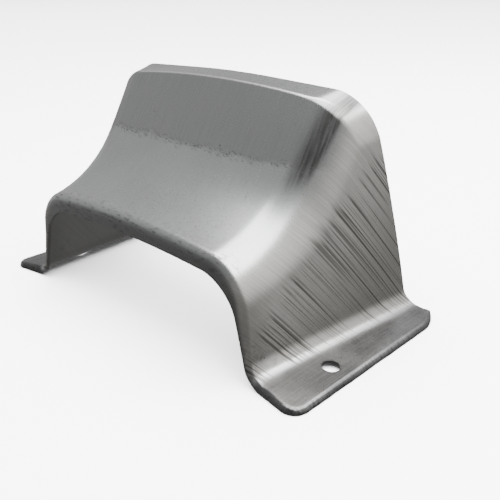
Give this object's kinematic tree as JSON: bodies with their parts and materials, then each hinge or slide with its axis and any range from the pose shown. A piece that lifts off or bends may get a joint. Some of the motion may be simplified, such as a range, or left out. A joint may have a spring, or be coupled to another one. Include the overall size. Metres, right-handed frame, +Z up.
{
  "type": "tunnel cover",
  "caption": "Pressed steel saddle cover for a scooter's central tunnel, with a scooped ramp, open low front arch, tall open back and outward feet with screw holes.",
  "frame": {"origin": "on the floor under the feet, midway between them and midway along the part", "axes": "+X across the tunnel between the feet, +Y along the tunnel from the low front arch to the tall open back, +Z up"},
  "size_m": [0.152, 0.079, 0.0805],
  "materials": {
    "bare_steel": "bare drawn steel with press marks"
  },
  "bodies": {
    "root": {"tunnel_cover": "bare_steel"}
  },
  "joints": []
}
